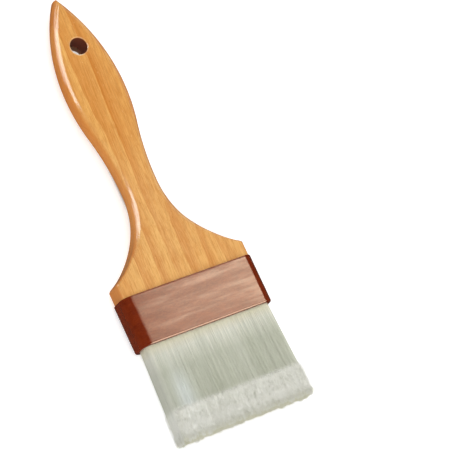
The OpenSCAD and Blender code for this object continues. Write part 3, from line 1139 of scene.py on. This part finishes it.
def make_camera():
    """A long lens above the brush and to its left, turned so that the handle runs up and left."""
    roll = Matrix.Rotation(CAMERA_ROLL, 3, "Z")
    tilt = Matrix.Rotation(CAMERA_TILT, 3, "X")
    yaw = Matrix.Rotation(CAMERA_YAW, 3, "Y")
    axes = (roll @ tilt @ yaw).transposed()
    data = bpy.data.cameras.new("camera")
    data.sensor_width = 36.0
    data.lens = CAMERA_LENS_MM
    data.clip_start = 0.05
    data.clip_end = 60.0
    made = bpy.data.objects.new("camera", data)
    stand = CAMERA_AIM + axes @ Vector((0, 0, CAMERA_DISTANCE))
    made.matrix_world = Matrix.Translation(stand) @ axes.to_4x4()
    bpy.context.scene.collection.objects.link(made)
    bpy.context.scene.camera = made


def towards(azimuth_deg, elevation_deg):
    """The direction of a light. Azimuth runs from +X towards +Y."""
    azimuth = math.radians(azimuth_deg)
    elevation = math.radians(elevation_deg)
    level = math.cos(elevation)
    return Vector((level * math.cos(azimuth), level * math.sin(azimuth), math.sin(elevation)))


def soft_sun(name, azimuth_deg, elevation_deg, spread_deg, strength):
    """A wide distant fill that leaves no reflection of its own."""
    data = bpy.data.lights.new(name, "SUN")
    data.energy = strength
    data.angle = math.radians(spread_deg)
    direction = towards(azimuth_deg, elevation_deg)
    made = bpy.data.objects.new(name, data)
    made.rotation_euler = direction.to_track_quat("Z", "Y").to_euler()
    made.location = direction * 2
    made.visible_glossy = False
    bpy.context.scene.collection.objects.link(made)


def reflector(name, aim, azimuth_deg, elevation_deg, away, width, height, radiance, tint):
    """A softbox that shows only in gloss. It faces the point aim, and height runs square to Y."""
    data = bpy.data.lights.new(name, "AREA")
    data.shape = "RECTANGLE"
    data.size = width
    data.size_y = height
    data.energy = radiance * math.pi * width * height
    data.color = tint
    direction = towards(azimuth_deg, elevation_deg)
    upright = Vector((direction.z, 0, -direction.x)).normalized()
    axes = Matrix((upright.cross(direction), upright, direction)).transposed()
    made = bpy.data.objects.new(name, data)
    made.rotation_euler = axes.to_euler()
    made.location = Vector(aim) + direction * away
    made.visible_camera = False
    made.visible_diffuse = False
    bpy.context.scene.collection.objects.link(made)
    return made


def only_on(light, name, pieces):
    """Keeps a light to these pieces."""
    reached = bpy.data.collections.new(name)
    for piece in pieces:
        reached.objects.link(piece)
    light.light_linking.receiver_collection = reached


def make_world():
    """A studio that is dim to the brush and looks pale to the camera."""
    world = bpy.data.worlds.new("studio")
    world.use_nodes = True
    tree = world.node_tree
    tree.nodes.clear()
    dim = add_node(tree, "Background", {}, {"Color": DIM_WALL, "Strength": DIM_STRENGTH})
    pale = add_node(tree, "Background", {}, {"Color": PALE_WALL, "Strength": 1.0})
    seen = add_node(tree, "LightPath", {}, {}).outputs["Is Camera Ray"]
    both = add_node(tree, "MixShader", {}, {0: seen, 1: dim.outputs[0], 2: pale.outputs[0]})
    out = tree.nodes.new("ShaderNodeOutputWorld")
    tree.links.new(both.outputs[0], out.inputs["Surface"])
    bpy.context.scene.world = world


def make_floor():
    """One wide square, which leaves no reflection in the brush."""
    h = FLOOR_SIZE / 2
    corners = [(-h, -h, 0), (h, -h, 0), (h, h, 0), (-h, h, 0)]
    mesh = mesh_from("floor", corners, [(0, 1, 2, 3)])
    made = add_object("floor", mesh, floor_material())
    made.visible_glossy = False


def light_handle(handle):
    """Softboxes that draw the highlights along the handle's rounded edges, and nothing else."""
    side = reflector("side_gleam", GRIP_AIM, 137, 40, away=1.2, width=0.8, height=0.75,
                     radiance=15.0, tint=COOL)
    low = reflector("low_side_gleam", GRIP_AIM, 137, 11, away=1.2, width=0.8, height=0.45,
                    radiance=7.5, tint=COOL)
    right = reflector("right_gleam", HOLE_AIM, 27, 10, away=1.2, width=0.9, height=0.4,
                      radiance=2.2, tint=COOL)
    lights = (("wooden_pieces", side), ("wooden_pieces_low", low), ("wooden_pieces_right", right))
    for name, light in lights:
        only_on(light, name, [handle])


def light_ferrule(ferrule):
    """The softboxes that lie in the ferrule's face and along its edges."""
    face = reflector("face_gleam", FACE_AIM, 21, 61, away=0.9, width=0.22, height=0.25,
                     radiance=5.6, tint=WARM)
    only_on(face, "moulded_pieces", [ferrule])
    reflector("soft_gleam", PACK_AIM, 22, 61, away=0.9, width=0.35, height=0.3, radiance=0.8, tint=WARM)
    reflector("mouth_gleam", MOUTH_AIM, -55, 37, away=1.2, width=1.0, height=0.5, radiance=9.0, tint=WARM)
    reflector("rim_gleam", RIM_AIM, 62, 15, away=1.2, width=0.35, height=0.5, radiance=4.0, tint=WARM)


def make_studio(handle, ferrule):
    """The camera, the floor, the soft fills and the softboxes round the brush."""
    make_camera()
    make_world()
    make_floor()
    soft_sun("left_fill", 200, 60, spread_deg=60, strength=1.5)
    soft_sun("front_fill", -90, 35, spread_deg=60, strength=1.25)
    soft_sun("back_fill", 60, 50, spread_deg=60, strength=1.6)
    light_handle(handle)
    light_ferrule(ferrule)
    bpy.context.scene.view_settings.view_transform = "Standard"


make_studio(make_handle(), make_ferrule())
make_bristles()
dress_inner_parts()
